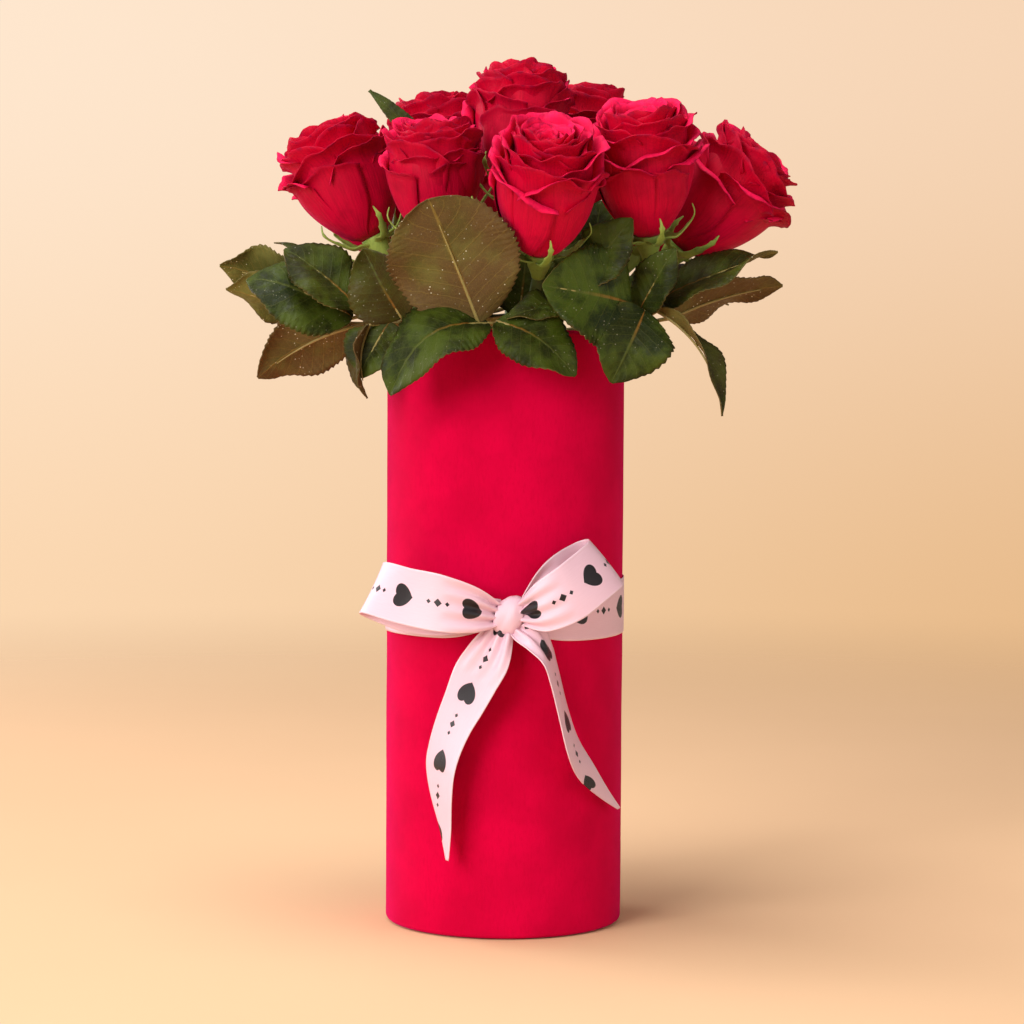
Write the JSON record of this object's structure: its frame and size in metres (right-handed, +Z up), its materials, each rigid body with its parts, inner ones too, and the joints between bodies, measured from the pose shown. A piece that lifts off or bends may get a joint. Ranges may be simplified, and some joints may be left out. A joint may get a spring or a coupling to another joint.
{
  "type": "velvet flower box with roses",
  "caption": "Tall round velvet-covered flower box tied with a printed satin bow, holding a lift-out foam insert with a dome of red roses and their leaves.",
  "frame": {"origin": "centre of the box's underside, on the surface it stands on", "axes": "+Z up along the box; -Y towards the front, where the bow is tied; +X to the right seen from the front"},
  "size_m": [0.2665, 0.2101, 0.3949],
  "materials": {
    "cardboard": "matte",
    "lining": "matte",
    "velvet": "matte",
    "ribbon": "satin",
    "liner": "satin",
    "foam": "matte",
    "stem": "satin",
    "calyx": "satin",
    "petal": "matte",
    "leaf": "satin"
  },
  "bodies": {
    "box": {"box_tube": "cardboard", "base_board": "cardboard", "base_cover": "velvet", "inner_lining": "lining", "velvet_wrap": "velvet", "ribbon_band": "ribbon", "ribbon_knot": "ribbon", "bow_loop_left": "ribbon", "bow_loop_right": "ribbon", "ribbon_tail_left": "ribbon", "ribbon_tail_right": "ribbon"},
    "arrangement": {"liner_cup": "liner", "floral_foam": "foam", "rose_01_stem": "stem", "rose_02_stem": "stem", "rose_03_stem": "stem", "rose_04_stem": "stem", "rose_05_stem": "stem", "rose_06_stem": "stem", "rose_07_stem": "stem", "rose_08_stem": "stem", "rose_09_stem": "stem", "rose_10_stem": "stem", "rose_11_stem": "stem", "rose_01_calyx": "calyx", "rose_02_calyx": "calyx", "rose_03_calyx": "calyx", "rose_04_calyx": "calyx", "rose_05_calyx": "calyx", "rose_06_calyx": "calyx", "rose_07_calyx": "calyx", "rose_08_calyx": "calyx", "rose_09_calyx": "calyx", "rose_10_calyx": "calyx", "rose_11_calyx": "calyx", "rose_01_head": "petal", "rose_02_head": "petal", "rose_03_head": "petal", "rose_04_head": "petal", "rose_05_head": "petal", "rose_06_head": "petal", "rose_07_head": "petal", "rose_08_head": "petal", "rose_09_head": "petal", "rose_10_head": "petal", "rose_11_head": "petal", "rose_01_leaves": "leaf", "rose_02_leaves": "leaf", "rose_03_leaves": "leaf", "rose_04_leaves": "leaf", "rose_05_leaves": "leaf", "rose_06_leaves": "leaf", "rose_07_leaves": "leaf", "rose_08_leaves": "leaf", "rose_09_leaves": "leaf", "rose_10_leaves": "leaf", "rose_11_leaves": "leaf"}
  },
  "joints": [
    {"name": "arrangement_lift", "type": "slide", "parent": "box", "child": "arrangement", "axis": [0, 0, 1], "range_m": [0, 0.28]}
  ]
}
